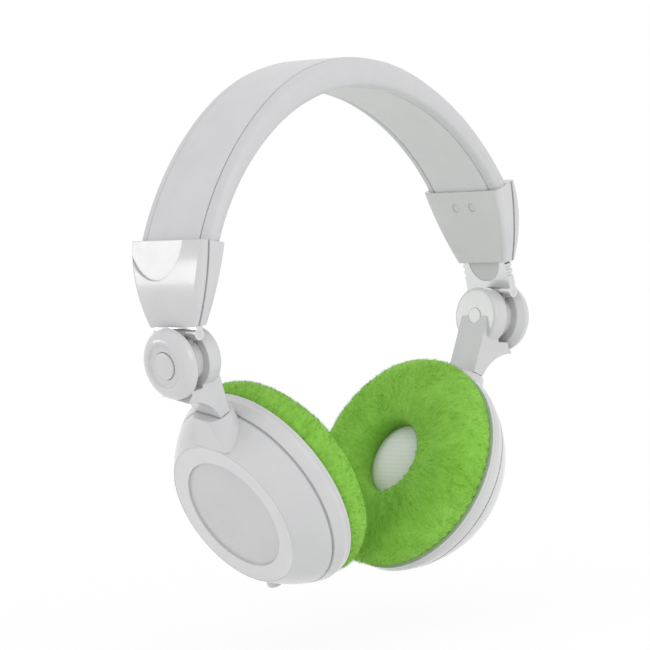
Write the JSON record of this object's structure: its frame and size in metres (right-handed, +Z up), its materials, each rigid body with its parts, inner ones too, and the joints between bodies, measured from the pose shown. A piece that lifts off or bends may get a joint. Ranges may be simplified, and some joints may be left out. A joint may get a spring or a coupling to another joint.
{
  "type": "folding over-ear headphones",
  "caption": "Folding over-ear headphones: a padded headband on steel sliders, turning push-button hubs and hinged arms, and round closed cups with ring-shaped velour cushions.",
  "frame": {"origin": "middle of the inside of the headband at its crown, where the band rests on a head", "axes": "+Z up away from the head, +X to the right side of the picture, -Y towards the front; the band lies in the XZ plane"},
  "size_m": [0.1931, 0.0969, 0.2038],
  "materials": {
    "spring_steel": "cold rolled",
    "band_leatherette": "satin",
    "band_leatherette_inner": "satin",
    "band_panel": "gloss",
    "cap_plastic": "gloss",
    "screw_steel": "nickel plated",
    "slider_steel": "brushed",
    "insert_plastic": "gloss",
    "pin_steel": "turned",
    "link_plastic": "gloss",
    "arm_plastic": "gloss",
    "hub_plastic": "gloss",
    "washer_nylon": "natural",
    "button_plastic": "gloss",
    "shell_plastic": "gloss",
    "ring_plastic": "gloss",
    "disc_plastic": "satin",
    "rim_plastic": "satin",
    "inner_plastic": "satin",
    "magnet_coating": "nickel",
    "diaphragm_film": "thin film",
    "scrim_cloth": "woven",
    "velour": "short pile",
    "socket_plastic": "satin"
  },
  "bodies": {
    "headband": {"band_spring": "spring_steel", "band_padding": "band_leatherette", "band_top_panel": "band_panel", "band_liner": "band_leatherette_inner", "left_cap_outer": "cap_plastic", "left_cap_inner": "cap_plastic", "left_cap_screws": "screw_steel", "left_click_spring": "spring_steel", "right_cap_outer": "cap_plastic", "right_cap_inner": "cap_plastic", "right_cap_screws": "screw_steel", "right_click_spring": "spring_steel"},
    "left_slider": {"left_slider_blade": "slider_steel", "left_slider_insert": "insert_plastic", "left_tilt_pin": "pin_steel"},
    "left_link": {"left_hub_link": "link_plastic"},
    "left_arm": {"left_hanger_arm": "arm_plastic", "left_hub_cover": "hub_plastic", "left_hinge_pin": "pin_steel", "left_hub_washers": "washer_nylon", "left_swivel_post": "pin_steel", "left_swivel_clip": "washer_nylon"},
    "left_button": {"left_lock_button": "button_plastic"},
    "left_cup": {"left_cup_shell": "shell_plastic", "left_back_ring": "ring_plastic", "left_back_disc": "disc_plastic", "left_rim_ring": "rim_plastic", "left_baffle": "inner_plastic", "left_driver_frame": "inner_plastic", "left_driver_magnet": "magnet_coating", "left_driver_diaphragm": "diaphragm_film", "left_driver_grille": "inner_plastic", "left_driver_scrim": "scrim_cloth", "left_cup_screws": "screw_steel", "left_ear_cushion": "velour", "left_audio_socket": "socket_plastic"},
    "right_slider": {"right_slider_blade": "slider_steel", "right_slider_insert": "insert_plastic", "right_tilt_pin": "pin_steel"},
    "right_link": {"right_hub_link": "link_plastic"},
    "right_arm": {"right_hanger_arm": "arm_plastic", "right_hub_cover": "hub_plastic", "right_hinge_pin": "pin_steel", "right_hub_washers": "washer_nylon", "right_swivel_post": "pin_steel", "right_swivel_clip": "washer_nylon"},
    "right_button": {"right_lock_button": "button_plastic"},
    "right_cup": {"right_cup_shell": "shell_plastic", "right_back_ring": "ring_plastic", "right_back_disc": "disc_plastic", "right_rim_ring": "rim_plastic", "right_baffle": "inner_plastic", "right_driver_frame": "inner_plastic", "right_driver_magnet": "magnet_coating", "right_driver_diaphragm": "diaphragm_film", "right_driver_grille": "inner_plastic", "right_driver_scrim": "scrim_cloth", "right_cup_screws": "screw_steel", "right_ear_cushion": "velour"}
  },
  "joints": [
    {"name": "left_slide", "type": "slide", "parent": "headband", "child": "left_slider", "axis": [-0.1045, 0, -0.9945], "range_m": [0, 0.018]},
    {"name": "left_tilt", "type": "hinge", "parent": "left_slider", "child": "left_link", "pos_m": [-0.08363, 0, -0.08188], "axis": [0, -1, 0], "range_deg": [-12.5, 1.5]},
    {"name": "left_swing", "type": "hinge", "parent": "left_link", "child": "left_arm", "pos_m": [-0.08285, 0, -0.09185], "axis": [0.9969, 0, 0.0785], "range_deg": [-86.7, 63.3]},
    {"name": "left_swivel", "type": "hinge", "parent": "left_arm", "child": "left_cup", "pos_m": [-0.0672, 0.00481, -0.11393], "axis": [-0.3972, -0.1917, 0.8975], "range_deg": [-90, 90]},
    {"name": "left_button_press", "type": "slide", "parent": "left_arm", "child": "left_button", "axis": [-0.9969, 0, -0.0785], "range_m": [0, 0.006]},
    {"name": "right_slide", "type": "slide", "parent": "headband", "child": "right_slider", "axis": [0.1045, 0, -0.9945], "range_m": [-0.0094, 0.0086]},
    {"name": "right_tilt", "type": "hinge", "parent": "right_slider", "child": "right_link", "pos_m": [0.08462, 0, -0.09123], "axis": [0, 1, 0], "range_deg": [-19.5, 1.5]},
    {"name": "right_swing", "type": "hinge", "parent": "right_link", "child": "right_arm", "pos_m": [0.08262, 0, -0.10103], "axis": [0.9799, 0, -0.1994], "range_deg": [-75.8, 74.2]},
    {"name": "right_swivel", "type": "hinge", "parent": "right_arm", "child": "right_cup", "pos_m": [0.06431, 0.00033, -0.12152], "axis": [0.5075, -0.0132, 0.8615], "range_deg": [-90, 90]},
    {"name": "right_button_press", "type": "slide", "parent": "right_arm", "child": "right_button", "axis": [0.9799, 0, -0.1994], "range_m": [-0.006, 0]}
  ]
}
